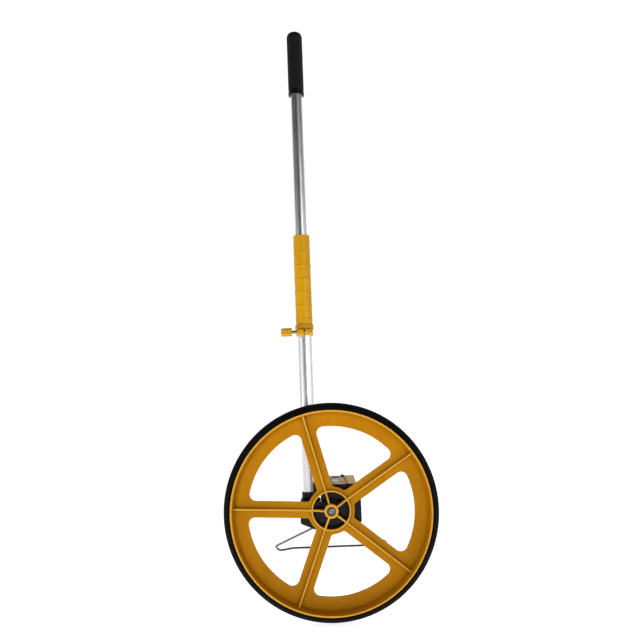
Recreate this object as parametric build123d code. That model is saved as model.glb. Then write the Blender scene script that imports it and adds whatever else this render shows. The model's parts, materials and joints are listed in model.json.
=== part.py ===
from build123d import *
from math import atan, atan2, cos, degrees, hypot, pi, radians, sin, sqrt, tan
import os

# Measuring wheel: one turn of the tyre is one metre.  Millimetres, +Z up, +Y along the axle
# from the wheel towards the counter.  The design is drawn about the axle's centre and lifted
# by the tyre's radius on export, so the row's origin is where the tyre meets the ground.

# ---- wheel
circumference = 1000.0
tyre_r = circumference / (2 * pi)
tyre_width = 22.0
tyre_side_r = 152.5
rim_r = 148.6
rim_width = 30.0
rim_lip = 2.7
rim_inner_r = 144.3
tyre_key_depth = 1.4
tyre_key_width = 7.0
web_front = 7.0
web_back = 11.0
window_r = 124.3
window_corner_r = 10.0
window_root_r = 4.5
spoke_count = 5
spoke_width = 24.0
first_spoke_deg = 33.0
rib_thickness = 2.8
rib_front_at_rim = -0.5
rib_front_at_ring = 3.4
hub_disc_r = 35.0
ring_outer_r = 29.7
ring_inner_r = 27.2
ring_front = 2.6
boss_r = 10.4
boss_front = -6.0
boss_back = 13.0
edge_round = 0.7
recess_r = 7.0
recess_floor = -0.5
axle_seat = 2.0

# ---- axle and its fittings
axle_r = 5.0
axle_front = 2.0
axle_back = 65.5
axle_flat = 4.0
running_gap = 0.05
screw_r = 2.5
screw_head_r = 4.8
washer_r = 6.3
spacer_back = 16.3
bush_front = 16.6
bush_flange = 1.4
bush_r = 7.0
bush_back = 26.0
circlip_y = 26.4
rear_bush_front = 58.0
rear_bush_back = 66.0

# ---- gear train from the axle to the first number drum
gear_module = 0.8
drive_teeth = 18
idler_teeth = 14
gear_backlash = 0.22
spur_front = 27.8
spur_width = 3.6
bevel_middle = 33.6
bevel_width = 3.2
roof_slope = 12.0
drum_x = 8.5

# ---- gear case, two clamshell halves that meet on the tube's centre plane
case_front = 22.0
case_back = 70.0
case_left = -46.5
case_right = 45.5
case_wall = 2.4
case_shoulder = 12.0
case_low_side = -20.0
case_bottom = -36.0
case_bottom_half = 9.0
bearing_boss_r = 15.5
bearing_boss_front = 18.0
case_screw_r = 1.5
case_screw_places = [(-24.5, -25.0), (24.5, -25.0), (39.8, 4.5)]
bolt_z = -4.0

# ---- handle tubes
tube_x = -30.8
tube_y = 47.0
lower_tube_r = 11.0
lower_bore_r = 10.0
lower_tube_bottom = -19.0
lower_tube_top = 420.0
upper_tube_r = 9.5
upper_bore_r = 8.5
upper_tube_bottom = 224.0
upper_tube_top = 745.0
socket_r = 13.0
socket_top = 25.0
socket_flare_r = 15.2
socket_flare_top = 17.0
grip_r = 12.2
grip_lip_r = 12.9
grip_lip_height = 5.4
grip_bottom = 659.0
grip_top = 766.4
grip_dome_r = 7.0

# ---- sleeve and clamp at the joint of the tubes
sleeve_r = 13.0
band_r = 13.35
sleeve_bottom = 283.6
sleeve_top = 426.0
band_count = 6
band_height = 5.0
collar_r = 14.6
collar_bottom = 274.8
jaw_bottom = 265.2
jaw_slot = 2.6
ear_front = 24.0
ear_half = 11.5
clamp_axis_z = 270.2
clamp_axis_y = 28.0
stud_r = 2.5
knob_r = 6.5
knob_left = -67.0
knob_right = -50.2

# ---- counter
housing_left = -15.0
housing_front = 24.0
housing_back = 68.0
housing_base_right = 44.5
housing_top_right = 37.0
housing_top = 46.0
roof_near_z = 36.0
housing_wall = 2.0
drum_count = 5
drum_r = 11.0
drum_pitch = 5.0
drum_width = 4.7
drum_shaft_r = 1.5
drum_start = 4.6
carry_teeth = 20
pinion_teeth = 8
carry_module = 0.9
window_left = 3.0
window_right = 14.0
window_near = 10.5
window_far = 38.0
window_width = window_right - window_left
window_length = window_far - window_near
window_x = (window_left + window_right) / 2
window_along = (window_near + window_far) / 2
window_frame = 1.8
label_left = -5.0
label_near = 1.2
label_near_right = 38.3
label_far = 43.6
label_far_right = 36.4
label_thickness = 0.5
housing_screw_places = [(-9.5, 6.0), (-9.5, 38.5)]
button_x = 19.8
button_along = 38.4
button_r = 2.6
button_cup_r = 3.8
button_cup_depth = 8.7
button_spring_height = 5.2

# ---- folding wire stand
wire_r = 1.75
stand_axis_y = 73.5
stand_axis_z = -33.5
stand_length = 140.0
stand_half_foot = 95.6
stand_half_root = 27.4
stand_droop = 22.5
stand_screw_places = [(-6.5, -27.5), (6.5, -27.5)]


def save(name, shape):
    lifted = Pos(0, 0, tyre_r) * shape
    lifted.label = name
    export_step(lifted, f"parts/{name}.step")


def turned(points):
    """A solid of revolution about the axle from (radius, y) points."""
    return revolve(make_face(Polyline(*points, close=True)), Axis.Y)


def turned_up(points):
    """A solid of revolution about Z from (radius, z) points."""
    return revolve(make_face(Polyline(*[(r, 0, z) for r, z in points], close=True)), Axis.Z)


def prism(outline, y_low, y_high):
    """An outline drawn in X and Z, carried along the axle from y_low to y_high."""
    return Pos(0, y_high, 0) * extrude(Plane.XZ * outline, y_high - y_low)


def block(x_low, x_high, y_low, y_high, z_low, z_high):
    size = Box(x_high - x_low, y_high - y_low, z_high - z_low)
    return Pos((x_low + x_high) / 2, (y_low + y_high) / 2, (z_low + z_high) / 2) * size


def rod_y(radius, y_low, y_high, x=0.0, z=0.0):
    return Pos(x, (y_low + y_high) / 2, z) * Rot(90, 0, 0) * Cylinder(radius, y_high - y_low)


def rod_x(radius, x_low, x_high, y=0.0, z=0.0):
    return Pos((x_low + x_high) / 2, y, z) * Rot(0, 90, 0) * Cylinder(radius, x_high - x_low)


def rod_z(radius, z_low, z_high, x=0.0, y=0.0):
    return Pos(x, y, (z_low + z_high) / 2) * Cylinder(radius, z_high - z_low)


def pipe_z(outer, inner, z_low, z_high, x=0.0, y=0.0):
    return rod_z(outer, z_low, z_high, x, y) - rod_z(inner, z_low - 1, z_high + 1, x, y)


def cross_slot(depth, across):
    """A cross recess for a screwdriver, opening along +Z from z = 0 down."""
    arm = Pos(0, 0, -depth / 2) * Box(across, across * 0.26, depth)
    return arm + Rot(0, 0, 90) * arm


def pan_screw(head_r, head_h, shank_r, length):
    """A pan head screw standing on z = 0 with its head above and its shank below."""
    head = fillet(Cylinder(head_r, head_h).edges().group_by(Axis.Z)[-1], head_h * 0.45)
    head = Pos(0, 0, head_h / 2) * head
    head -= Pos(0, 0, head_h + 0.01) * cross_slot(head_h * 0.6, head_r * 1.1)
    return head + Pos(0, 0, -length / 2) * Cylinder(shank_r, length)


# ------------------------------------------------------------------ wheel


def rim_and_web():
    half = rim_width / 2
    key_half = tyre_key_width / 2
    section = make_face(
        Polyline(
            (rim_r, -half),
            (rim_r - rim_lip, -half),
            (rim_inner_r, web_front),
            (rim_inner_r, web_back),
            (rim_r - rim_lip, half),
            (rim_r, half),
            (rim_r, key_half),
            (rim_r - tyre_key_depth, key_half - 0.6),
            (rim_r - tyre_key_depth, 0.6 - key_half),
            (rim_r, -key_half),
            close=True,
        )
    )
    lips = [v for v in section.vertices() if abs(v.Y) > half - 0.1]
    rim = revolve(fillet(lips, edge_round), Axis.Y)
    opening = Circle(window_r) - Circle(hub_disc_r)
    for index in range(spoke_count):
        arm = Pos(window_r / 2, 0) * Rectangle(window_r + 20, spoke_width)
        opening -= Rot(0, 0, first_spoke_deg + index * 360 / spoke_count) * arm
    outer = [v for v in opening.vertices() if hypot(v.X, v.Y) > window_r / 2]
    opening = fillet(outer, window_corner_r)
    inner = [v for v in opening.vertices() if hypot(v.X, v.Y) < hub_disc_r + 3]
    opening = fillet(inner, window_root_r)
    web = prism(Circle(rim_inner_r + 0.6) - Circle(ring_inner_r) - opening, web_front, web_back)
    around_windows = [
        edge
        for edge in web.edges()
        if abs(edge.center().Y - web_front) < 0.01 and 33 < edge_reach(edge) < window_r + 1
    ]
    return rim + fillet(around_windows, edge_round)


def edge_reach(edge):
    """How far the nearest end of an edge lies from the axle."""
    return min(hypot(v.X, v.Z) for v in edge.vertices())


def wheel_rib():
    """One rib, front edge sloping, from the hub's boss out to the rim."""
    outer = make_face(
        Polyline(
            (ring_outer_r - 1, rib_front_at_ring),
            (rim_inner_r + 0.8, rib_front_at_rim),
            (rim_inner_r + 0.8, web_back - 0.5),
            (ring_outer_r - 1, web_back - 0.5),
            close=True,
        )
    )
    inner = make_face(
        Polyline(
            (boss_r - 2, boss_front + 1.2),
            (ring_inner_r + 1, ring_front + 0.4),
            (ring_inner_r + 1, web_back),
            (boss_r - 2, web_back),
            close=True,
        )
    )
    return rounded_rib(outer) + rounded_rib(inner)


def rounded_rib(side):
    """A rib of the given side outline, in X and Y, with its front edges rounded."""
    rib = extrude(side, rib_thickness / 2, both=True)
    crest = rib.faces().sort_by(Axis.Y)[0]
    along = [e for e in crest.edges() if e.length > 2 * rib_thickness]
    return fillet(along, edge_round)


def wheel_moulding():
    body = rim_and_web()
    ring = prism(Circle(ring_outer_r) - Circle(ring_inner_r), ring_front, web_back)
    body += fillet(ring.edges().group_by(Axis.Y)[0], edge_round)
    for index in range(spoke_count):
        body += Rot(0, -first_spoke_deg - index * 360 / spoke_count, 0) * wheel_rib()
    boss = rod_y(boss_r, boss_front, boss_back)
    body += fillet(boss.edges().group_by(Axis.Y)[0], edge_round)
    body -= rod_y(recess_r, boss_front - 1, recess_floor)
    body -= rod_y(screw_r + 0.3, recess_floor - 1, axle_seat + 1)
    seat = Circle(axle_r + running_gap) - Pos(axle_r + axle_flat + running_gap, 0) * Rectangle(
        2 * axle_r, 4 * axle_r
    )
    return body - prism(seat, axle_seat, boss_back + 1)


def tyre():
    half = tyre_width / 2
    key_half = tyre_key_width / 2 - 0.3
    outline = [
        Line((rim_r, -half), (tyre_side_r, -half)),
        ThreePointArc((tyre_side_r, -half), (tyre_r, 0), (tyre_side_r, half)),
        Polyline(
            (tyre_side_r, half),
            (rim_r, half),
            (rim_r, key_half),
            (rim_r - tyre_key_depth + 0.2, key_half - 0.6),
            (rim_r - tyre_key_depth + 0.2, 0.6 - key_half),
            (rim_r, -key_half),
            (rim_r, -half),
        ),
    ]
    return revolve(make_face(Curve() + outline), Axis.Y)


def axle():
    shaft = rod_y(axle_r, axle_front, axle_back)
    flat = block(axle_flat, axle_r + 1, axle_front - 1, boss_back, -axle_r, axle_r)
    groove = rod_y(axle_r + 1, circlip_y, circlip_y + 1) - rod_y(axle_r - 0.6, 0, axle_back)
    return shaft - flat - groove - rod_y(screw_r + 0.05, axle_front - 1, axle_front + 15)


def ring_y(outer, inner, y_low, y_high):
    return rod_y(outer, y_low, y_high) - rod_y(inner, y_low - 1, y_high + 1)


def make_wheel():
    save("wheel_moulding", wheel_moulding())
    save("tyre", tyre())
    save("axle", axle())
    save("hub_washer", ring_y(washer_r, screw_r + 0.3, recess_floor - 1, recess_floor))
    screw = pan_screw(screw_head_r, 3.0, screw_r, 14.0)
    save("hub_screw", Pos(0, recess_floor - 1, 0) * Rot(90, 0, 0) * screw)
    save("hub_spacer", ring_y(9.0, axle_r + 0.1, boss_back, spacer_back))
    clip = ring_y(axle_r + 2.6, axle_r - 0.55, circlip_y, circlip_y + 1)
    clip -= block(-2, 2, circlip_y - 1, circlip_y + 2, -axle_r - 4, 0)
    save("axle_circlip", clip)


# ------------------------------------------------------------------ gears


def gear_face(teeth, module, backlash, scale=1.0, addendum=1.0, dedendum=1.25, turn=0.0):
    """An involute gear outline with a tooth centred on the angle turn, in degrees."""
    pitch_r = module * teeth / 2
    base_r = pitch_r * cos(radians(20))
    tip_r = pitch_r + addendum * module
    root_r = pitch_r - dedendum * module
    flank_start = max(base_r, root_r)
    half_tooth = pi / (2 * teeth) - backlash / (2 * pitch_r)
    half_tooth += tan(radians(20)) - radians(20)
    flank = []
    for step in range(5):
        radius = flank_start + (tip_r - flank_start) * step / 4
        roll = sqrt(max(0.0, (radius / base_r) ** 2 - 1))
        flank.append((radius, half_tooth - (roll - atan(roll))))
    if root_r < base_r:
        flank.insert(0, (root_r, flank[0][1]))
    points = []
    for tooth in range(teeth):
        centre = radians(turn) + 2 * pi * tooth / teeth
        for radius, half in flank:
            points.append((radius * cos(centre - half), radius * sin(centre - half)))
        for radius, half in reversed(flank):
            points.append((radius * cos(centre + half), radius * sin(centre + half)))
    return make_face(Polyline(*[(x * scale, y * scale) for x, y in points], close=True))


def bevel_gear(teeth, cone_distance, turn):
    """A bevel gear along +Z whose cone's apex is cone_distance below its middle."""
    low_scale = 1 - bevel_width / 2 / cone_distance
    high_scale = 1 + bevel_width / 2 / cone_distance
    low = gear_face(teeth, gear_module, gear_backlash, low_scale, turn=turn)
    high = gear_face(teeth, gear_module, gear_backlash, high_scale, turn=turn)
    faces = [Pos(0, 0, -bevel_width / 2) * low, Pos(0, 0, bevel_width / 2) * high]
    return loft(faces, ruled=True)


idler_r = gear_module * idler_teeth / 2
drive_r = gear_module * drive_teeth / 2
idler_z = sqrt((idler_r + drive_r) ** 2 - drum_x**2)
idler_cone = degrees(
    atan(sin(radians(roof_slope)) / (drive_teeth / idler_teeth + cos(radians(roof_slope))))
)
drum_cone = roof_slope - idler_cone
cone_length = idler_r / sin(radians(idler_cone))
idler_apex = cone_length * cos(radians(idler_cone))
drum_apex = cone_length * cos(radians(drum_cone))
apex_y = bevel_middle - idler_apex

# The number drums turn on a shaft that rises with the housing's roof.
drum_axis = Plane(
    origin=(drum_x, apex_y, idler_z),
    x_dir=(1, 0, 0),
    z_dir=(0, cos(radians(roof_slope)), sin(radians(roof_slope))),
)


def along_drums(distance):
    """The place on the drum shaft at a distance behind the bevel gear's middle."""
    return drum_axis * Pos(0, 0, drum_apex + distance)


def along_axle(x, y, z):
    """A frame whose +Z runs along the axle's +Y."""
    return Plane(origin=(x, y, z), x_dir=(1, 0, 0), z_dir=(0, 1, 0)).location


def axle_gear():
    mesh_angle = degrees(atan2(-idler_z, drum_x))
    face = gear_face(drive_teeth, gear_module, gear_backlash, turn=mesh_angle)
    gear = along_axle(0, spur_front, 0) * extrude(face, spur_width)
    hub = rod_y(drive_r - gear_module * 1.3, spur_front, spur_front + spur_width + 4)
    return gear + hub - rod_y(axle_r + 0.02, 0, case_back)


def idler_gear():
    mesh_angle = degrees(atan2(-idler_z, drum_x)) + 180 + 180 / idler_teeth
    face = gear_face(idler_teeth, gear_module, gear_backlash, turn=mesh_angle)
    gear = along_axle(drum_x, spur_front, idler_z) * extrude(face, spur_width)
    neck_r = idler_r - gear_module * 1.3
    gear += rod_y(neck_r, spur_front, bevel_middle, drum_x, idler_z)
    bevel = bevel_gear(idler_teeth, idler_apex, -90)
    gear += along_axle(drum_x, bevel_middle, idler_z) * bevel
    return gear - rod_y(2.0 + running_gap, 0, case_back, drum_x, idler_z)


def drum_gear():
    gear = along_drums(0) * bevel_gear(drive_teeth, drum_apex, 90 + 180 / drive_teeth)
    gear += along_drums(drum_start / 2) * Cylinder(3.0, drum_start)
    return gear - drum_axis * Pos(0, 0, drum_apex) * Cylinder(drum_shaft_r + running_gap, 60)


carry_r = carry_module * carry_teeth / 2
pinion_r = carry_module * pinion_teeth / 2
pinion_offset = -(carry_r + pinion_r + 0.1)


def carry_gear(teeth, width, turn):
    face = gear_face(teeth, carry_module, 0.55, addendum=0.75, dedendum=1.05, turn=turn)
    return extrude(face, width)


def digit_drum(index):
    """A number drum: a smooth rim for the digits and a toothed carry rim beside it."""
    start = drum_start + index * drum_pitch
    rim_width = drum_width - 1.4
    drum = Pos(0, 0, rim_width / 2) * Cylinder(drum_r, rim_width)
    drum -= Pos(0, 0, rim_width / 2 - 1) * Cylinder(drum_r - 1.6, rim_width)
    drum += Pos(0, 0, drum_width / 2) * Cylinder(3.4, drum_width)
    if index > 0:
        carry = carry_gear(carry_teeth, 1.4, 180 + 180 / carry_teeth)
        drum += Pos(0, 0, drum_width - 1.4) * carry
    else:
        drum += Pos(0, 0, drum_width - 1.6) * Cylinder(carry_r - 2, 1.6)
    drum -= Cylinder(drum_shaft_r + running_gap, 3 * drum_width)
    return along_drums(start) * drum


def carry_pinion(index):
    """The small pinion that carries from one drum to the next, on its own shaft."""
    start = drum_start + (index + 1) * drum_pitch + drum_width - 1.4
    pinion = Pos(pinion_offset, 0, 0) * carry_gear(pinion_teeth, 1.4, 0)
    pinion -= Pos(pinion_offset, 0, 0) * Cylinder(1.0 + running_gap, 6)
    return along_drums(start) * pinion


def make_gears():
    save("axle_gear", axle_gear())
    save("idler_gear", idler_gear())
    save("drum_gear", drum_gear())
    for index in range(drum_count):
        save(f"digit_drum_{index + 1}", digit_drum(index))
    for index in range(drum_count - 1):
        save(f"carry_pinion_{index + 1}", carry_pinion(index))


# ------------------------------------------------------------------ gear case


def case_outline(inset=0.0):
    side = tan(radians(25)) * inset
    return make_face(
        Polyline(
            (case_left + inset, case_shoulder - inset),
            (case_left + inset, case_low_side + side),
            (-case_bottom_half, case_bottom + inset),
            (case_bottom_half, case_bottom + inset),
            (case_right - inset, case_low_side + side),
            (case_right - inset, case_shoulder - inset),
            close=True,
        )
    )


def case_solid():
    """Both halves of the gear case as one solid, before they are parted."""
    shell = prism(case_outline(), case_front, case_back)
    upright = shell.edges().filter_by(Axis.Y)
    shell = fillet([e for e in upright if e.center().Z < 0], 3.0)
    cavity = prism(case_outline(case_wall), case_front + case_wall, case_back - case_wall)
    shell -= cavity
    shell -= block(
        housing_left + 2.6, housing_base_right - 5, case_front + 5, case_back - 4.5, 0, 20
    )
    socket_block = block(
        case_left + 1, tube_x + socket_flare_r, case_front + 1, case_back - 1, -23.5, case_shoulder
    )
    shell += socket_block & prism(case_outline(1.0), case_front, case_back)
    flare = turned_up(
        [
            (0, case_shoulder - 4),
            (socket_flare_r, case_shoulder - 4),
            (socket_flare_r, case_shoulder + 1),
            (socket_r, socket_flare_top),
            (socket_r, socket_top),
            (0, socket_top),
        ]
    )
    shell += Pos(tube_x, tube_y, 0) * flare
    shell += rod_y(bearing_boss_r, bearing_boss_front, case_front + 1)
    shell += rod_y(bush_r + 2.2, case_front, bush_back)
    shell += rod_y(bush_r + 2.2, rear_bush_front, case_back - 1)
    for x, z in case_screw_places:
        shell += rod_y(3.4, case_front + 1, case_back - 1, x, z) & prism(
            case_outline(0.5), case_front, case_back
        )
    shell -= rod_z(lower_tube_r + 0.03, lower_tube_bottom, 60, tube_x, tube_y)
    shell -= rod_y(bush_r + 0.02, 0, bush_back + 1)
    shell -= rod_y(bush_r + 0.02, rear_bush_front - 1, rear_bush_back)
    shell -= rod_y(2.0 + 0.02, case_front + 1, case_front + 5, drum_x, idler_z)
    return shell


def case_screw_holes():
    holes = Part()
    for x, z in case_screw_places:
        holes += rod_y(case_screw_r + 0.05, case_front + 6, case_back + 1, x, z)
        holes += rod_y(3.0, case_back - 2.0, case_back + 1, x, z)
    return holes


def socket_bolt_hole():
    hole = rod_y(screw_r + 0.15, 0, case_back + 5, tube_x, bolt_z)
    hole += rod_y(4.9, case_back - 3.2, case_back + 1, tube_x, bolt_z)
    nut = Plane.XZ * RegularPolygon(4.75, 6)
    return hole + Pos(tube_x, case_front + 4, bolt_z) * extrude(nut, 6)


def make_case():
    whole = case_solid() - case_screw_holes() - socket_bolt_hole()
    whole -= stand_screw_holes()
    front = whole & block(-80, 80, 0, tube_y, -80, 80)
    rear = whole & block(-80, 80, tube_y, 90, -80, 80)
    save("gear_case_front", front)
    save("gear_case_rear", rear)
    screws = Part()
    for x, z in case_screw_places:
        screw = pan_screw(2.8, 1.8, case_screw_r, 38.0)
        screws += Pos(x, case_back - 2.0, z) * Rot(-90, 0, 0) * screw
    save("case_screws", screws)
    bolt = pan_screw(4.6, 2.8, screw_r, 46.0)
    save("socket_bolt", Pos(tube_x, case_back - 3.2, bolt_z) * Rot(-90, 0, 0) * bolt)
    nut = Plane.XZ * (RegularPolygon(4.6, 6) - Circle(screw_r + 0.05))
    save("socket_nut", Pos(tube_x, case_front + 3.9, bolt_z) * extrude(nut, 3.8))
    bush = ring_y(9.0, axle_r + running_gap, bush_front, bush_front + bush_flange)
    bush += ring_y(bush_r, axle_r + running_gap, bush_front, bush_back)
    save("front_bush", bush)
    save("rear_bush", ring_y(bush_r, axle_r + running_gap, rear_bush_front, rear_bush_back))
    stud = rod_y(2.0, case_front + 1, bevel_middle + 3.4, drum_x, idler_z)
    save("idler_stud", stud)


# ------------------------------------------------------------------ counter


def roof_frame(along, x=0.0, lift=0.0):
    """A frame on the sloping roof: +Z out of it, +Y up the slope, along from its near edge."""
    near = Plane(
        origin=(0, housing_front, roof_near_z),
        x_dir=(1, 0, 0),
        z_dir=(0, -sin(radians(roof_slope)), cos(radians(roof_slope))),
    )
    return near.location * Pos(x, along, lift)


def housing_block(inset=0.0):
    """The housing's outer form, or its hollow when inset by the wall."""
    outline = make_face(
        Polyline(
            (housing_left + inset, case_shoulder - inset),
            (housing_base_right - inset, case_shoulder - inset),
            (housing_top_right - inset, housing_top + 2),
            (housing_left + 1.5 + inset, housing_top + 2),
            close=True,
        )
    )
    form = prism(outline, housing_front + inset, housing_back - inset)
    if inset == 0.0:
        side_edges = [e for e in form.edges().filter_by(Axis.Z, 12) if e.length > 20]
        form = fillet(side_edges, 2.5)
    above = roof_frame(25, lift=20 - inset) * Box(120, 120, 40)
    return form - above


def counter_housing():
    shell = housing_block() - housing_block(housing_wall)
    shell -= roof_frame(window_along, window_x) * Box(window_width, window_length, 12)
    for x, along in housing_screw_places:
        post = roof_frame(along, x, -9) * Cylinder(3.0, 17)
        shell += post & housing_block(0.2)
        shell -= roof_frame(along, x, -8) * Cylinder(1.3, 30)
    cup = Cylinder(button_cup_r, button_cup_depth - 0.3)
    shell += roof_frame(button_along, button_x, -button_cup_depth / 2 - 0.15) * cup
    bore = Cylinder(button_r + 0.1, button_cup_depth + 2)
    return shell - roof_frame(button_along, button_x, 1 - button_cup_depth / 2 + 1) * bore


def make_counter():
    save("counter_housing", counter_housing())
    lens = Box(window_width - 0.1, window_length - 0.1, 1.6)
    save("counter_window", roof_frame(window_along, window_x, -0.9) * lens)
    frame = Box(window_width + 2 * window_frame, window_length + 2 * window_frame, 0.8)
    frame -= Box(window_width - 1.2, window_length - 1.2, 2)
    frame = fillet(frame.edges().filter_by(Axis.Z), 0.5)
    save("counter_bezel", roof_frame(window_along, window_x, 0.4) * frame)
    save("label_plate", roof_frame(0) * extrude(label_outline(), label_thickness))
    screws = Part()
    for x, along in housing_screw_places:
        screws += roof_frame(along, x) * pan_screw(2.6, 1.5, 1.25, 14.0)
    save("counter_screws", screws)
    save("counter_chassis", counter_chassis())
    shaft_length = drum_start + drum_count * drum_pitch + 4.4
    save("drum_shaft", along_drums(shaft_length / 2 - 2.6) * Cylinder(drum_shaft_r, shaft_length))
    pinion_span = drum_count * drum_pitch + 3.6
    pinion_shaft = Pos(pinion_offset, 0, 0) * Cylinder(1.0, pinion_span)
    save("pinion_shaft", along_drums(drum_start + pinion_span / 2 - 2.0) * pinion_shaft)
    make_reset()


def label_outline():
    """The printed film on the roof, cut out round the window's frame and the button."""
    outline = make_face(
        Polyline(
            (label_left, label_near),
            (label_near_right, label_near),
            (label_far_right, label_far),
            (label_left, label_far),
            close=True,
        )
    )
    outline = fillet(outline.vertices(), 1.5)
    clear = 2 * window_frame + 0.6
    outline -= Pos(window_x, window_along) * Rectangle(window_width + clear, window_length + clear)
    return outline - Pos(button_x, button_along) * Circle(button_r + 0.6)


def counter_chassis():
    """A folded sheet bracket: an upright at each end of the drums and a strip under them."""
    thickness = 1.0
    front = drum_start - 1.8
    back = drum_start + drum_count * drum_pitch + 0.3
    low = drum_r + 1.2
    left = pinion_offset - 2.4
    width = drum_r * 0.6 - left
    centre = left + width / 2
    chassis = Part()
    for place in (front, back):
        upright = Pos(centre, low / 2 - 2) * Box(width, low + 4, thickness)
        chassis += along_drums(place + thickness / 2) * upright
    strip = Pos(centre, low) * Box(width, thickness, back - front)
    chassis += along_drums((front + back) / 2 + thickness / 2) * strip
    chassis -= along_drums(front) * Cylinder(3.3, 4)
    chassis -= along_drums(back) * Cylinder(drum_shaft_r + 0.02, 4)
    return chassis - along_drums(front) * Pos(pinion_offset, 0, 0) * Cylinder(1.02, 100)


def make_reset():
    cap = Cylinder(button_r, 6.0)
    cap = fillet(cap.edges().group_by(Axis.Z)[-1], 1.0)
    save("reset_button", roof_frame(button_along, button_x, 0.5) * cap)
    coil = Helix(pitch=1.3, height=button_spring_height - 0.55, radius=2.3)
    section = Plane(origin=coil @ 0, z_dir=coil % 0) * Circle(0.25)
    spring = sweep(section, path=coil)
    save("reset_spring", roof_frame(button_along, button_x, -7.4) * spring)


# ------------------------------------------------------------------ handle


def make_tubes():
    lower = pipe_z(lower_tube_r, lower_bore_r, lower_tube_bottom, lower_tube_top, tube_x, tube_y)
    lower -= rod_y(screw_r + 0.15, 0, case_back, tube_x, bolt_z)
    for side in (-1, 1):
        slit = block(-1, 1, 8, 12, jaw_bottom - 20, collar_bottom + 20)
        lower -= Pos(tube_x, tube_y) * Rot(0, 0, 90 * side) * slit
    save("lower_tube", lower)
    upper = pipe_z(upper_tube_r, upper_bore_r, upper_tube_bottom, upper_tube_top, tube_x, tube_y)
    save("upper_tube", upper)
    plug = rod_z(lower_bore_r - 0.1, upper_tube_bottom - 5, upper_tube_bottom)
    plug += rod_z(upper_bore_r - 0.05, upper_tube_bottom - 1, upper_tube_bottom + 14)
    save("tube_plug", Pos(tube_x, tube_y) * plug)
    bush = rod_z(lower_tube_r, lower_tube_top, lower_tube_top + 2)
    bush += rod_z(lower_bore_r - 0.03, lower_tube_top - 22, lower_tube_top + 1)
    bush -= rod_z(upper_tube_r + 0.06, lower_tube_top - 30, lower_tube_top + 10)
    save("tube_bush", Pos(tube_x, tube_y) * bush)
    crown = Cylinder(grip_r, grip_top - grip_bottom)
    crown = fillet(crown.edges().group_by(Axis.Z)[-1], grip_dome_r)
    grip = Pos(tube_x, tube_y, (grip_top + grip_bottom) / 2) * crown
    lip = Cylinder(grip_lip_r, grip_lip_height)
    lip = fillet(lip.edges().filter_by(GeomType.CIRCLE), edge_round)
    grip += Pos(tube_x, tube_y, grip_bottom + grip_lip_height / 2) * lip
    grip -= rod_z(upper_tube_r + 0.02, grip_bottom - 1, upper_tube_top, tube_x, tube_y)
    save("grip", grip)


def clamp_sleeve():
    sleeve = rod_z(sleeve_r, sleeve_bottom - 1, sleeve_top)
    sleeve = fillet(sleeve.edges().group_by(Axis.Z)[-1], 1.2)
    pitch = (sleeve_top - sleeve_bottom) / (band_count + 0.7)
    for index in range(band_count):
        low = sleeve_bottom + 4.5 + index * pitch
        high = low + band_height
        sleeve += turned_up(
            [
                (sleeve_r - 1, low),
                (sleeve_r, low),
                (band_r, low + 0.4),
                (band_r, high - 0.4),
                (sleeve_r, high),
                (sleeve_r - 1, high),
            ]
        )
    sleeve += turned_up(
        [
            (0, collar_bottom),
            (collar_r - 0.8, collar_bottom),
            (collar_r, collar_bottom + 0.8),
            (collar_r, sleeve_bottom - 1.6),
            (sleeve_r, sleeve_bottom),
            (0, sleeve_bottom),
        ]
    )
    sleeve += rod_z(collar_r - 1.4, jaw_bottom, collar_bottom)
    ear_reach = ear_front - tube_y
    ear = block(-ear_half, ear_half, ear_reach, 0, jaw_bottom, collar_bottom - 0.01)
    sleeve += fillet([e for e in ear.edges().filter_by(Axis.X) if e.center().Y < -20], 3.0)
    half_slot = jaw_slot / 2
    sleeve -= block(-half_slot, half_slot, ear_reach - 1, -8, jaw_bottom - 1, collar_bottom - 1)
    sleeve -= rod_z(lower_tube_r + 0.03, jaw_bottom - 1, lower_tube_top + 2.1)
    sleeve -= rod_z(upper_tube_r + 0.4, lower_tube_top, sleeve_top + 1)
    return sleeve


def make_clamp():
    ear_right = tube_x + ear_half
    sleeve = Pos(tube_x, tube_y, 0) * clamp_sleeve()
    sleeve -= rod_x(stud_r + 0.05, -80, 0, clamp_axis_y, clamp_axis_z)
    pocket_mouth = (ear_right + 1, clamp_axis_y, clamp_axis_z)
    pocket = Plane(origin=pocket_mouth, x_dir=(0, 1, 0), z_dir=(-1, 0, 0))
    sleeve -= extrude(pocket * RegularPolygon(4.2, 6), 5.0)
    save("clamp_sleeve", sleeve)
    nut = RegularPolygon(4.1, 6) - Circle(stud_r + 0.05)
    save("clamp_nut", extrude(pocket * nut, 4.9) & block(-60, ear_right, 0, 60, 200, 300))
    save("clamp_knob", clamp_knob())
    save("clamp_stud", rod_x(stud_r, knob_left + 6, ear_right - 0.5, clamp_axis_y, clamp_axis_z))


def clamp_knob():
    """A lobed thumb knob moulded on the clamp's stud."""
    length = knob_right - knob_left
    star = Circle(knob_r - 0.9)
    for lobe in range(6):
        star += Rot(0, 0, lobe * 60) * Pos(knob_r - 2.1, 0) * Circle(2.1)
    envelope = Cylinder(knob_r, length)
    envelope = fillet(envelope.edges().group_by(Axis.Z)[0], 2.6)
    knob = extrude(star, length) & Pos(0, 0, length / 2) * envelope
    knob -= Cylinder(stud_r + 0.02, 3 * length) & Pos(0, 0, length / 2 + 6) * Box(20, 20, length)
    return Pos(knob_left, clamp_axis_y, clamp_axis_z) * Rot(0, 90, 0) * knob


# ------------------------------------------------------------------ stand


def stand_screw_holes():
    holes = Part()
    for x, z in stand_screw_places:
        holes += rod_y(1.3, 60, 90, x, z)
    return holes


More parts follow.
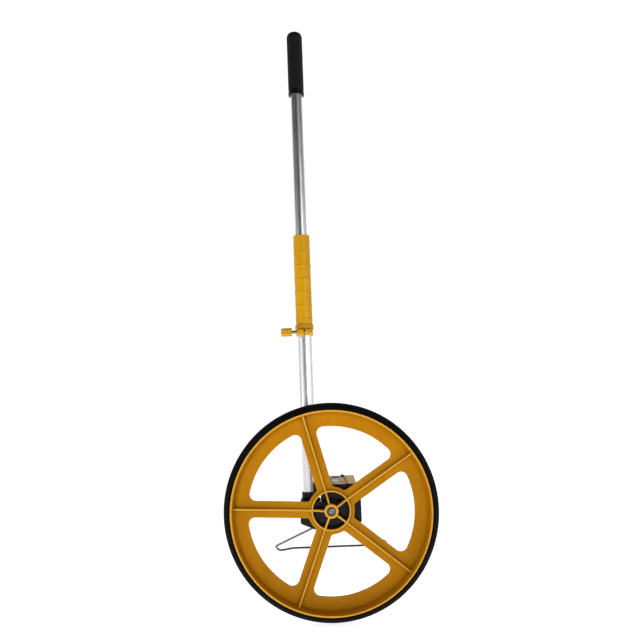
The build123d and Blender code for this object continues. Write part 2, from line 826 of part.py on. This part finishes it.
def kick_stand():
    """A bent wire: two pins on the hinge, two splayed legs and a foot bar with drooped ends."""
    far = stand_length
    one_side = [
        (14.0, 0, 0),
        (stand_half_root, 0, 0),
        (stand_half_foot, far - 8, 3.4),
        (stand_half_foot - 6.6, far + 1, -2.2),
        (stand_half_foot - 29.6, far, 1.0),
    ]
    other_side = [(-x, y, z) for x, y, z in reversed(one_side)]
    bends = [4.0, 8.3, 8.3, 25.0]
    route = FilletPolyline(*one_side, *other_side, radius=bends + bends[::-1])
    section = Plane(origin=route @ 0, z_dir=route % 0) * Circle(wire_r)
    wire = sweep(section, path=route)
    return Pos(0, stand_axis_y, stand_axis_z) * Rot(-stand_droop, 0, 0) * wire


def stand_bracket():
    """A moulded saddle screwed to the back of the case that holds the wire's two pins."""
    plate = block(-22.5, 22.5, case_back, case_back + 2.2, -35.5, -22.5)
    plate = fillet([e for e in plate.edges().filter_by(Axis.Y) if e.center().Z > -30], 2.0)
    bracket = plate
    for side in (-1, 1):
        near, far = sorted((side * 12.5, side * 22.5))
        knuckle = rod_x(3.4, near, far, stand_axis_y, stand_axis_z)
        knuckle += block(near, far, case_back, stand_axis_y, stand_axis_z - 2.4, stand_axis_z + 3.4)
        bracket += knuckle
        hole_near, hole_far = sorted((side * 13.6, side * 24.0))
        bracket -= rod_x(wire_r + running_gap, hole_near, hole_far, stand_axis_y, stand_axis_z)
    for x, z in stand_screw_places:
        bracket -= rod_y(1.6, 60, 90, x, z)
    return bracket


def make_stand():
    save("kick_stand", kick_stand())
    save("stand_bracket", stand_bracket())
    screws = Part()
    for x, z in stand_screw_places:
        screw = pan_screw(2.7, 1.6, 1.25, 6.0)
        screws += Pos(x, case_back + 2.2, z) * Rot(-90, 0, 0) * screw
    save("stand_screws", screws)


os.makedirs("parts", exist_ok=True)
make_wheel()
make_gears()
make_case()
make_counter()
make_tubes()
make_clamp()
make_stand()
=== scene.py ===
import json
import math

import bmesh
import bpy
from mathutils import Matrix, Vector


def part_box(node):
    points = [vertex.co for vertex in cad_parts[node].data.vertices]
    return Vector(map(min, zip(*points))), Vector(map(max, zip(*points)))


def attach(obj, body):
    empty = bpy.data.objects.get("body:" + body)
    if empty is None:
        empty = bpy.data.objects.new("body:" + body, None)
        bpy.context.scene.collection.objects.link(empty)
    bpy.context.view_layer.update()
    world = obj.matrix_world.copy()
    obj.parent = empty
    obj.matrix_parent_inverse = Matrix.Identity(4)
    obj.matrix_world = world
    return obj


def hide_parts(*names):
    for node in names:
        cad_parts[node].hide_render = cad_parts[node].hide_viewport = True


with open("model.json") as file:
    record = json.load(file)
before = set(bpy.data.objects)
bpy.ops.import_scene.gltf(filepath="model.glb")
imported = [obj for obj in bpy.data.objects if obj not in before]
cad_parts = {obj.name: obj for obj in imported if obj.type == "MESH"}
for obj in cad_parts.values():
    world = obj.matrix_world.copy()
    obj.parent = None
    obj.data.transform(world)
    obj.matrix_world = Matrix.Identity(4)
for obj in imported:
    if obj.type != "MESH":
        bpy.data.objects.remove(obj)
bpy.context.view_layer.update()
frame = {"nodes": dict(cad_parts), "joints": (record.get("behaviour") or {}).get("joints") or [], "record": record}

nodes = frame["nodes"]
joints = {joint["name"]: joint for joint in frame["joints"]}
mounts = {mount["name"]: mount for mount in frame["record"]["mounts"]}
MM = 0.001

# the depth where the painted highlight on proud front faces starts, and how fast it fades in
CREST_LEVEL = 0.0055
CREST_FADE = 0.0008
SOFT_EDGE = 0.0002

# ---------------------------------------------------------------- shader building blocks


def start(name, roughness, metallic=0.0, specular=0.5):
    """A new material with its node tree and shader, set where the whole surface is alike."""
    made = bpy.data.materials.new(name)
    made.use_nodes = True
    shader = made.node_tree.nodes["Principled BSDF"]
    shader.inputs["Roughness"].default_value = roughness
    shader.inputs["Metallic"].default_value = metallic
    shader.inputs["Specular IOR Level"].default_value = specular
    return made, made.node_tree, shader


def put(tree, kind, inputs, **settings):
    """Adds a shader node, sets its properties, and links or sets its inputs."""
    made = tree.nodes.new("ShaderNode" + kind)
    for name, value in settings.items():
        setattr(made, name, value)
    for name, value in inputs.items():
        if isinstance(value, bpy.types.NodeSocket):
            tree.links.new(value, made.inputs[name])
        else:
            made.inputs[name].default_value = value
    return made


def place(tree, stretch=(1.0, 1.0, 1.0)):
    """The point on the piece, in metres, stretched along its axes."""
    coordinates = put(tree, "TexCoord", {})
    mapping = put(tree, "Mapping", {"Vector": coordinates.outputs["Object"]})
    mapping.inputs["Scale"].default_value = stretch
    return mapping.outputs["Vector"]


def noise(tree, size, detail=3.0, stretch=(1.0, 1.0, 1.0)):
    """Noise whose features are about size metres across."""
    inputs = {"Vector": place(tree, stretch), "Scale": 1 / size, "Detail": detail}
    return put(tree, "TexNoise", inputs).outputs["Fac"]


def ramp(tree, value, low, high, to_low=0.0, to_high=1.0):
    """Takes value from low..high to to_low..to_high, and holds it outside."""
    inputs = {
        "Value": value,
        "From Min": low,
        "From Max": high,
        "To Min": to_low,
        "To Max": to_high,
    }
    return put(tree, "MapRange", inputs).outputs["Result"]


def math_node(tree, operation, *values):
    """A Math node's result."""
    return put(tree, "Math", dict(enumerate(values)), operation=operation).outputs[0]


def mix(tree, share, first, second):
    """Two colours mixed by share."""
    made = put(tree, "Mix", {}, data_type="RGBA")
    colour_sockets = [s for s in made.inputs if s.type == "RGBA"]
    wanted = [(made.inputs[0], share), (colour_sockets[0], first), (colour_sockets[1], second)]
    for socket, value in wanted:
        if isinstance(value, bpy.types.NodeSocket):
            tree.links.new(value, socket)
        elif isinstance(value, tuple):
            socket.default_value = (*value, 1.0)
        else:
            socket.default_value = value
    return next(s for s in made.outputs if s.type == "RGBA")


def shade(colour, factor):
    """The colour made lighter or darker by a factor."""
    return tuple(channel * factor for channel in colour)


def bumpy(tree, shader, heights, edge=SOFT_EDGE):
    """Bumps from (height socket, depth in metres) pairs, over edges softened by a radius."""
    normal = put(tree, "Bevel", {"Radius": edge}, samples=6).outputs["Normal"]
    for height, depth in heights:
        inputs = {"Height": height, "Distance": depth, "Strength": 1.0, "Normal": normal}
        normal = put(tree, "Bump", inputs).outputs["Normal"]
    tree.links.new(normal, shader.inputs["Normal"])


def vary_roughness(tree, shader, pattern, least, most, upto=0.75):
    """Roughness that goes from least to most as a noise pattern goes from 0.3 to upto."""
    rough = ramp(tree, pattern, 0.3, upto, least, min(1.0, most))
    tree.links.new(rough, shader.inputs["Roughness"])


def creases(tree, distance):
    """Mask for painted shade in each crease, from ambient occlusion: 0 deep in a crease, 1 in the open."""
    made = put(tree, "AmbientOcclusion", {"Distance": distance}, samples=8)
    return ramp(tree, made.outputs["AO"], 0.25, 0.85)


def crests(tree, level):
    """Mask for a painted highlight: 1 on surfaces that face the front, -Y, and stand proud of level; 0 elsewhere.
    """
    position = put(tree, "SeparateXYZ", {"Vector": place(tree)}).outputs["Y"]
    normal = put(tree, "TexCoord", {}).outputs["Normal"]
    facing = put(tree, "SeparateXYZ", {"Vector": normal}).outputs["Y"]
    proud = ramp(tree, position, level, level - CREST_FADE)
    return math_node(tree, "MULTIPLY", proud, ramp(tree, facing, -0.3, -0.8))


# ---------------------------------------------------------------- materials

FLOW_SIZE = 0.045
WEAR_SIZE = 0.012
RIPPLE_SIZE = 0.006
DUST_PATCH = 0.03
TARNISH_PATCH = 0.022

def moulded(name, colour, roughness, grain=0.0006, depth=0.00001, edge=0.0004, specular=0.5,
            crease_shade=0.55, crease=0.010, mottle=0.35, crest_highlight=None):
    """Moulded plastic: flow marks, grain, soft edges, painted shade in each crease and a painted highlight on
    proud front faces.
    """
    made, tree, shader = start(name, roughness, specular=specular)
    flow = noise(tree, FLOW_SIZE, 4.0, (1.0, 1.0, 0.5))
    colour_now = mix(tree, ramp(tree, flow, 0.3, 0.7), shade(colour, 0.90), shade(colour, 1.08))
    speckle = ramp(tree, noise(tree, grain * 3, 2.0), 0.35, 0.7, 0.0, mottle)
    colour_now = mix(tree, speckle, colour_now, shade(colour, 0.82))
    # painted shade: the colour is darkened wherever the ambient occlusion mask finds a crease
    colour_now = mix(tree, creases(tree, crease), shade(colour, crease_shade), colour_now)
    if crest_highlight:
        # painted highlight: a lighter colour on proud surfaces that face the front
        colour_now = mix(tree, crests(tree, CREST_LEVEL), colour_now, crest_highlight)
    tree.links.new(colour_now, shader.inputs["Base Color"])
    wear = noise(tree, WEAR_SIZE, 5.0)
    vary_roughness(tree, shader, wear, roughness * 0.8, roughness * 1.3)
    ripple = noise(tree, RIPPLE_SIZE, 2.0)
    bumpy(tree, shader, [(noise(tree, grain, 3.0), depth), (ripple, depth * 2)], edge)
    return made


def rubber(name, colour, roughness, specular=0.35, dust=1.9):
    """Matt rubber with a fine tooth, dust in patches and specks, and a worn sheen in patches."""
    made, tree, shader = start(name, roughness, specular=specular)
    patches = noise(tree, DUST_PATCH, 5.0)
    colour_now = mix(tree, ramp(tree, patches, 0.35, 0.75), colour, shade(colour, dust))
    specks = ramp(tree, noise(tree, 0.0011, 4.0), 0.58, 0.72, 0.0, 0.5)
    colour_now = mix(tree, specks, colour_now, shade(colour, dust * 1.5))
    tree.links.new(colour_now, shader.inputs["Base Color"])
    vary_roughness(tree, shader, patches, roughness * 0.85, roughness * 1.15, upto=0.7)
    bumpy(tree, shader, [(noise(tree, 0.0007, 3.0), 0.00003)], 0.0003)
    return made


def metal(name, colour, roughness, stretch, scratch=0.00001, tarnish=0.82, size=0.0006):
    """Drawn or turned metal: streaks along the way it was worked, and dulled patches."""
    made, tree, shader = start(name, roughness, metallic=1.0)
    streaks = noise(tree, size, 4.0, stretch)
    dulled = ramp(tree, noise(tree, TARNISH_PATCH, 4.0), 0.35, 0.75)
    colour_now = mix(tree, dulled, colour, shade(colour, tarnish))
    streaked = ramp(tree, streaks, 0.4, 0.75, 0.0, 0.5)
    colour_now = mix(tree, streaked, colour_now, shade(colour, 0.86))
    tree.links.new(colour_now, shader.inputs["Base Color"])
    vary_roughness(tree, shader, streaks, roughness * 0.75, roughness * 1.35)
    bumpy(tree, shader, [(streaks, scratch)])
    return made


def clear_window():
    """A clear moulded lens with a few fine wiping scratches."""
    made, tree, shader = start("clear_lens", 0.03)
    shader.inputs["Transmission Weight"].default_value = 1.0
    shader.inputs["IOR"].default_value = 1.46
    shader.inputs["Base Color"].default_value = (0.97, 0.985, 0.99, 1.0)
    wiped = noise(tree, 0.0009, 3.0, (1.0, 0.12, 1.0))
    tree.links.new(ramp(tree, wiped, 0.55, 0.8, 0.02, 0.12), shader.inputs["Roughness"])
    bumpy(tree, shader, [(wiped, 0.000004)])
    return made


LABEL_GROUND = (0.78, 0.56, 0.24)
LABEL_FADED = (0.64, 0.45, 0.18)
STRIPE_COLOUR = (0.22, 0.17, 0.02)
STRIPE_PLACE = 0.73
STRIPE_LEAN = 0.12
MARK_COLOUR = (0.50, 0.19, 0.11)
MARK_PLACE = (0.62, 0.20, 0.22)


def printed_label():
    """A blank printed film: a beige ground, one slanting olive stripe and a faded round mark."""
    low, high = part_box("label_plate")
    size = high - low
    made, tree, shader = start("printed_film", 0.5, specular=0.25)
    axes = put(tree, "SeparateXYZ", {"Vector": place(tree)})
    across = ramp(tree, axes.outputs["X"], low.x, high.x)
    up = ramp(tree, axes.outputs["Y"], low.y, high.y)
    fade = noise(tree, 0.009, 4.0)
    ground = mix(tree, ramp(tree, fade, 0.3, 0.7), LABEL_GROUND, LABEL_FADED)
    slanted = math_node(tree, "ADD", across, math_node(tree, "MULTIPLY", up, STRIPE_LEAN))
    away = math_node(tree, "ABSOLUTE", math_node(tree, "SUBTRACT", slanted, STRIPE_PLACE))
    ground = mix(tree, ramp(tree, away, 0.035, 0.055), STRIPE_COLOUR, ground)
    spot = low + Vector([share * length for share, length in zip(MARK_PLACE, size)])
    reach = put(tree, "VectorMath", {0: place(tree), 1: spot}, operation="DISTANCE")
    edge = ramp(tree, reach.outputs["Value"], size.x * 0.09, size.x * 0.14)
    tree.links.new(mix(tree, edge, MARK_COLOUR, ground), shader.inputs["Base Color"])
    bumpy(tree, shader, [(noise(tree, 0.0005, 3.0), 0.000006)])
    return made


AMBER = (0.56, 0.234, 0.0)
# colour of the painted highlight on the wheel's proud front-facing lip and rib edges
AMBER_CREST_HIGHLIGHT = (0.80, 0.41, 0.045)
AMBER_GLOSS = (0.76, 0.38, 0.0)
EVEN = (1.0, 1.0, 1.0)
ALONG_X = (0.05, 1.0, 1.0)
ALONG_Y = (1.0, 0.05, 1.0)
ALONG_WIRE = (0.2, 1.0, 1.0)
ALONG_TUBE = (1.0, 1.0, 0.01)

# each finish sets how dark the painted crease shade is and how far it reaches; the wheel's amber also gets a
# painted highlight on proud front faces
finishes = {
    "amber_plastic": moulded("amber_moulding", AMBER, 0.40, edge=0.0005, crease_shade=0.60, specular=0.09,
                             crest_highlight=AMBER_CREST_HIGHLIGHT),
    "amber_gloss": moulded("amber_gloss_moulding", AMBER_GLOSS, 0.34, depth=0.0000006, specular=0.20,
                           crease_shade=0.20, crease=0.0022, mottle=0.06),
    "black_tyre": rubber("tyre_rubber", (0.0032, 0.0024, 0.0022), 0.66, specular=0.07),
    "black_rubber": rubber("grip_rubber", (0.0024, 0.0024, 0.0025), 0.36, specular=0.20, dust=1.5),
    "black_plastic": moulded("black_grained", (0.003, 0.0028, 0.003), 0.20, grain=0.0004,
                             depth=0.000004, specular=0.18),
    "black_nylon": moulded("black_nylon_moulding", (0.014, 0.014, 0.014), 0.55, specular=0.4),
    "black_button": moulded("button_moulding", (0.012, 0.012, 0.013), 0.22, depth=0.000004),
    "white_acetal": moulded("acetal_moulding", (0.80, 0.79, 0.74), 0.38, crease_shade=0.6),
    "drum_white": moulded("drum_moulding", (0.76, 0.78, 0.78), 0.45, crease_shade=0.6),
    "dark_bezel": moulded("bezel_moulding", (0.15, 0.18, 0.13), 0.35),
    "steel": metal("turned_steel", (0.34, 0.33, 0.32), 0.30, ALONG_Y),
    "dark_steel": metal("oiled_steel", (0.16, 0.16, 0.17), 0.38, EVEN),
    "zinc_screw": metal("zinc_plate", (0.24, 0.27, 0.30), 0.36, EVEN, size=0.0012),
    "plated_wire": metal("plated_wire", (0.12, 0.12, 0.125), 0.34, ALONG_WIRE),
    "brushed_plate": metal("pressed_plate", (0.58, 0.59, 0.60), 0.34, ALONG_X),
    "aluminium_tube": metal("drawn_aluminium", (0.80, 0.81, 0.83), 0.32, ALONG_TUBE,
                            scratch=0.000004, tarnish=0.93, size=0.0005),
    "clear_window": clear_window(),
    "label_cream": printed_label(),
}


def finish_with(piece, slot_name):
    """Gives a piece one material over its whole surface."""
    if not piece.material_slots:
        piece.data.materials.append(finishes[slot_name])
    for slot in piece.material_slots:
        slot.material = finishes[slot_name]


for subpart in frame["record"]["subparts"]:
    finish_with(nodes[subpart["node"]], subpart["material_slot"])


# ---------------------------------------------------------------- mesh building blocks


def new_piece(name, points, faces, body, slot_name, replaced=()):
    """A mesh piece that rides on a body, has a finish and may stand for CAD nodes."""
    mesh = bpy.data.meshes.new(name)
    mesh.from_pydata(points, [], faces)
    mesh.update()
    piece = bpy.data.objects.new(name, mesh)
    bpy.context.scene.collection.objects.link(piece)
    for polygon in mesh.polygons:
        polygon.use_smooth = True
    finish_with(piece, slot_name)
    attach(piece, body)
    if replaced:
        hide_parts(*replaced)
    return piece


def turned_faces(columns, rows, closed_section):
    """Quads over a surface of revolution whose points run column by column."""
    faces = []
    last = rows if closed_section else rows - 1
    for column in range(columns):
        beside = (column + 1) % columns
        for row in range(last):
            above = (row + 1) % rows
            corners = (column * rows + row, beside * rows + row)
            faces.append((*corners, beside * rows + above, column * rows + above))
    return faces


# ---------------------------------------------------------------- tyre

TREAD_BLOCKS = 200
GROOVE_PLACES = (-6.6 * MM, -3.4 * MM, 3.4 * MM, 6.6 * MM)
GROOVE_HALF = 0.42 * MM
GROOVE_DEPTH = 0.55 * MM
SIPE_DEPTH = 0.40 * MM
SIPE_STEPS = ((0.0, 0.0), (0.42, 0.0), (0.84, 0.0), (0.88, 1.0), (0.96, 1.0))
CROWN_STEPS = 22
SIDE_DROP = 6.66 * MM
SEAT_DROP = 3.9 * MM
SIDE_EASE = 0.4 * MM


def tyre_section(outer_r, half_width, side_r):
    """Points (y, radius, share of a sipe's depth) round the tyre's closed section."""
    rise = outer_r - side_r
    crown_r = (half_width**2 + rise**2) / (2 * rise)
    seat_r = side_r - SEAT_DROP
    turns = [math.pi * step / CROWN_STEPS for step in range(1, CROWN_STEPS)]
    levels = {-half_width * math.cos(turn) for turn in turns}
    for groove in GROOVE_PLACES:
        levels |= {groove + side * GROOVE_HALF * k for side in (-1, 1) for k in (0.8, 1.0)}
    section = [(-half_width, seat_r, 0.0), (-half_width, side_r - SIDE_EASE, 0.0)]
    for y in sorted(levels):
        radius = outer_r - crown_r + math.sqrt(crown_r**2 - y**2)
        nearest = min(abs(y - groove) for groove in GROOVE_PLACES)
        if nearest < GROOVE_HALF * 0.9:
            radius -= GROOVE_DEPTH
        outside_middle = abs(y) > abs(GROOVE_PLACES[1]) + GROOVE_HALF * 0.95
        inside_side = abs(y) < half_width * 0.93
        section.append((y, radius, 1.0 if outside_middle and inside_side else 0.0))
    section.append((half_width, side_r - SIDE_EASE, 0.0))
    section.append((half_width, seat_r, 0.0))
    return section


def make_tyre():
    """The tyre with grooves round it and short sipes across its shoulders."""
    low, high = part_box("tyre")
    centre_z = Vector(joints["wheel_spin"]["pos_m"]).z
    outer_r = high.x
    section = tyre_section(outer_r, (high.y - low.y) / 2, outer_r - SIDE_DROP)
    angles = []
    for block in range(TREAD_BLOCKS):
        for part, sunk in SIPE_STEPS:
            angles.append(((block + part) * 2 * math.pi / TREAD_BLOCKS, sunk))
    points = []
    for angle, sunk in angles:
        for y, radius, share in section:
            reach = radius - sunk * share * SIPE_DEPTH
            points.append((reach * math.cos(angle), y, centre_z + reach * math.sin(angle)))
    faces = turned_faces(len(angles), len(section), True)
    new_piece("tyre_tread", points, faces, "wheel", "black_tyre", ["tyre"])


# ---------------------------------------------------------------- grip

GRIP_STUDS_AROUND = 26
GRIP_STUD_PITCH = 2.9 * MM
GRIP_STUD_HEIGHT = 0.95 * MM
GRIP_COLUMNS = GRIP_STUDS_AROUND * 8
GRIP_ROW_STEP = 0.42 * MM
GRIP_SINK = 0.35 * MM
FIRST_STUD_RISE = 8.0 * MM
LAST_STUD_DROP = 7.3 * MM
LIP_HEIGHT = 5.4 * MM
LIP_EDGE = 0.9 * MM
DOME_R = 7.0 * MM
BORE_R = 9.56 * MM


def stud_height(turn_share, height, start, end):
    """The raised, staggered studs of the grip, 0 to 1."""
    if not start < height < end:
        return 0.0
    row = (height - start) / GRIP_STUD_PITCH
    stagger = 0.5 * (int(row) % 2)
    across = (turn_share * GRIP_STUDS_AROUND + stagger) % 1.0 - 0.5
    along = row % 1.0 - 0.5
    distance = math.hypot(across, along) / 0.47
    return math.cos(distance * math.pi / 2) ** 0.7 if distance < 1 else 0.0


def grip_profile(body_r, lip_r, low, high):
    """Points (radius, z) from the lip's inner edge up the outside to the crown's middle."""
    profile = [(BORE_R, low + 2 * MM), (BORE_R, low + 0.3 * MM), (BORE_R + 0.3 * MM, low)]
    edge_r = lip_r - LIP_EDGE
    for centre_z, first in ((low + LIP_EDGE, -90), (low + LIP_HEIGHT - LIP_EDGE, 0)):
        for step in range(5):
            angle = math.radians(first + step * 22.5)
            rise = LIP_EDGE * math.sin(angle)
            profile.append((edge_r + LIP_EDGE * math.cos(angle), centre_z + rise))
    profile.append((body_r + 0.1 * MM, low + LIP_HEIGHT + 0.05 * MM))
    straight_top = high - DOME_R
    z = low + LIP_HEIGHT + GRIP_ROW_STEP
    while z < straight_top:
        profile.append((body_r, z))
        z += GRIP_ROW_STEP
    for step in range(13):
        angle = math.radians(step * 7.5)
        reach = body_r - DOME_R + DOME_R * math.cos(angle)
        profile.append((reach, straight_top + DOME_R * math.sin(angle)))
    profile.append((0.6 * MM, high))
    return profile


def make_grip():
    """The grip with its lip, its studs and a domed crown."""
    low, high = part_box("grip")
    centre = (low + high) / 2
    body_r = mounts["hand_grip"]["dims"]["r_mm"] * MM
    profile = grip_profile(body_r, (high.x - low.x) / 2, low.z, high.z)
    first_stud = low.z + FIRST_STUD_RISE
    last_stud = high.z - LAST_STUD_DROP
    points = []
    for column in range(GRIP_COLUMNS):
        angle = column * 2 * math.pi / GRIP_COLUMNS
        for radius, z in profile:
            raised = stud_height(column / GRIP_COLUMNS, z, first_stud, last_stud)
            sink = GRIP_SINK if first_stud < z < last_stud else 0.0
            reach = radius - sink + raised * GRIP_STUD_HEIGHT
            x = centre.x + reach * math.cos(angle)
            points.append((x, centre.y + reach * math.sin(angle), z))
    faces = turned_faces(GRIP_COLUMNS, len(profile), False)
    rows = len(profile)
    faces.append(tuple(column * rows + rows - 1 for column in range(GRIP_COLUMNS)))
    new_piece("grip_sleeve", points, faces, "handle", "black_rubber", ["grip"])


# ---------------------------------------------------------------- numerals on the drums

NUMERAL_SIZE = 5.4 * MM
NUMERAL_RAISE = 0.04 * MM
NUMERAL_SLICE = 0.35 * MM
NUMERAL_SQUEEZE = 0.9
DIGIT_RIM_WIDTH = 3.3 * MM
DRUMS = 5
DIGITS = 10


def numeral_mesh(digit):
    """The flat outline of a digit, centred, and sliced so that it can bend round a drum."""
    curve = bpy.data.curves.new(f"numeral_{digit}", type="FONT")
    curve.body = str(digit)
    curve.size = NUMERAL_SIZE
    curve.resolution_u = 4
    flat = bpy.data.objects.new(f"numeral_{digit}", curve)
    bpy.context.scene.collection.objects.link(flat)
    graph = bpy.context.evaluated_depsgraph_get()
    mesh = bpy.data.meshes.new_from_object(flat.evaluated_get(graph))
    bpy.data.objects.remove(flat)
    form = bmesh.new()
    form.from_mesh(mesh)
    xs = [v.co.x for v in form.verts]
    ys = [v.co.y for v in form.verts]
    middle = Vector(((min(xs) + max(xs)) / 2, (min(ys) + max(ys)) / 2, 0))
    bmesh.ops.translate(form, verts=form.verts, vec=-middle)
    level = -NUMERAL_SIZE / 2
    while level < NUMERAL_SIZE / 2:
        geometry = form.verts[:] + form.edges[:] + form.faces[:]
        bmesh.ops.bisect_plane(form, geom=geometry, plane_co=(0, level, 0), plane_no=(0, 1, 0))
        level += NUMERAL_SLICE
    form.verts.index_update()
    points = [v.co.copy() for v in form.verts]
    faces = [[v.index for v in face.verts] for face in form.faces]
    form.free()
    return points, faces


def make_numerals():
    """Ten digits round each drum, read from behind the wheel, with 0 on top at rest."""
    shapes = [numeral_mesh(digit) for digit in range(DIGITS)]
    for number in range(1, DRUMS + 1):
        joint = joints[f"drum_{number}_spin"]
        centre = Vector(joint["pos_m"])
        axis = Vector(joint["axis"]).normalized()
        sideways = Vector((1, 0, 0))
        upward = sideways.cross(axis)
        drum = [v.co - centre for v in nodes[f"digit_drum_{number}"].data.vertices]
        first = min(p.dot(axis) for p in drum)
        drum_r = max((p - axis * p.dot(axis)).length for p in drum)
        points = []
        faces = []
        for digit, (outline, outline_faces) in enumerate(shapes):
            base = len(points)
            for p in outline:
                angle = -digit * 2 * math.pi / DIGITS + p.y / drum_r
                out = upward * math.cos(angle) + sideways * math.sin(angle)
                along = first + DIGIT_RIM_WIDTH / 2 - p.x * NUMERAL_SQUEEZE
                points.append(centre + axis * along + out * (drum_r + NUMERAL_RAISE))
            faces += [tuple(base + index for index in face) for face in outline_faces]
        new_piece(f"numerals_{number}", points, faces, f"drum_{number}", "black_nylon")


make_tyre()
make_grip()
make_numerals()

# ---------------------------------------------------------------- floor, light and camera

WHITE_WALL = 1.05
BRIGHT_WALL = 0.20
DARK_WALL = 0.03
FLOOR_GLOW = 0.80
FLOOR_R = 9.0
WHITE = (1.0, 1.0, 1.0, 1.0)


def make_floor():
    """A wide pale floor of backlit acrylic, faintly uneven."""
    form = bmesh.new()
    bmesh.ops.create_circle(form, cap_ends=True, segments=96, radius=FLOOR_R)
    mesh = bpy.data.meshes.new("studio_floor")
    form.to_mesh(mesh)
    form.free()
    floor = bpy.data.objects.new("studio_floor", mesh)
    bpy.context.scene.collection.objects.link(floor)
    made, tree, shader = start("pale_floor", 0.7, specular=0.2)
    pale = mix(tree, noise(tree, 0.8, 3.0), (0.95, 0.95, 0.95), (0.92, 0.92, 0.92))
    tree.links.new(pale, shader.inputs["Base Color"])
    shader.inputs["Emission Color"].default_value = WHITE
    shader.inputs["Emission Strength"].default_value = FLOOR_GLOW
    mesh.materials.append(made)


def make_world():
    """Lights the object by a white wall behind it, a brighter right side and a dark left and top.

    The camera itself sees white all round, so the backdrop is plain in every view.
    """
    world = bpy.data.worlds.new("studio")
    bpy.context.scene.world = world
    world.use_nodes = True
    tree = world.node_tree
    back = tree.nodes["Background"]
    back.inputs["Color"].default_value = WHITE
    direction = put(tree, "TexCoord", {}).outputs["Generated"]
    axes = put(tree, "SeparateXYZ", {"Vector": direction})
    ahead = ramp(tree, axes.outputs["Y"], 0.20, 0.55)
    right = ramp(tree, axes.outputs["X"], -0.15, 0.60)
    low = ramp(tree, axes.outputs["Z"], 0.08, 0.42, 1.0, 0.0)
    side = ramp(tree, math_node(tree, "MULTIPLY", right, low), 0.0, 1.0, DARK_WALL, BRIGHT_WALL)
    light = put(tree, "Mix", {0: ahead, 2: side, 3: WHITE_WALL}).outputs[0]
    seen = put(tree, "LightPath", {}).outputs["Is Camera Ray"]
    light = put(tree, "Mix", {0: seen, 2: light, 3: WHITE_WALL}).outputs[0]
    tree.links.new(light, back.inputs["Strength"])


def make_light(name, location, target, size, watts, glossy=True, diffuse=True):
    """A soft light at location, facing target, that shiny or matt surfaces may leave out."""
    data = bpy.data.lights.new(name, "AREA")
    data.shape = "RECTANGLE"
    data.size, data.size_y = size
    data.energy = watts
    lamp = bpy.data.objects.new(name, data)
    bpy.context.scene.collection.objects.link(lamp)
    lamp.visible_camera = False
    lamp.visible_glossy = glossy
    lamp.visible_diffuse = diffuse
    lamp.location = location
    aim = Vector(target) - Vector(location)
    lamp.rotation_euler = aim.to_track_quat("-Z", "Y").to_euler()


CAMERA_PLACE = (-0.01615, -1.1690, 0.31041)
CAMERA_PITCH = math.radians(6.5)
CAMERA_YAW = -0.0085
CAMERA_ROLL = -0.0376
CAMERA_LENS = 43.59
SENSOR_WIDTH = 36.0


def make_camera():
    """A camera in front of the wheel and above its axle, turned up and rolled slightly."""
    data = bpy.data.cameras.new("camera")
    data.lens = CAMERA_LENS
    data.sensor_width = SENSOR_WIDTH
    data.clip_start = 0.01
    camera = bpy.data.objects.new("camera", data)
    bpy.context.scene.collection.objects.link(camera)
    turn = Matrix.Rotation(CAMERA_YAW, 4, "Z")
    turn @= Matrix.Rotation(math.pi / 2 + CAMERA_PITCH, 4, "X")
    turn @= Matrix.Rotation(CAMERA_ROLL, 4, "Z")
    camera.matrix_world = Matrix.Translation(CAMERA_PLACE) @ turn
    bpy.context.scene.camera = camera


make_floor()
make_world()
make_light("key_upper_left", location=(-0.26, -1.0, 0.34), target=(-0.02, 0, 0.15),
           size=(0.30, 0.30), watts=3.3, glossy=False)
make_light("strip_right", location=(0.95, -1.65, 0.60), target=(0, 0, 0.5),
           size=(0.36, 0.8), watts=9, diffuse=False)
make_light("wall_left", location=(-2.4, -0.9, 0.25), target=(0, 0, 0.3),
           size=(2.4, 1.6), watts=15, diffuse=False)
make_light("wall_right", location=(2.4, -0.9, 0.35), target=(0, 0, 0.3),
           size=(2.4, 1.8), watts=14, diffuse=False)
make_light("overhead", location=(0.0, 0.1, 2.0), target=(0, 0, 0),
           size=(1.4, 1.4), watts=4, glossy=False)
make_camera()
bpy.context.scene.view_settings.view_transform = "Standard"
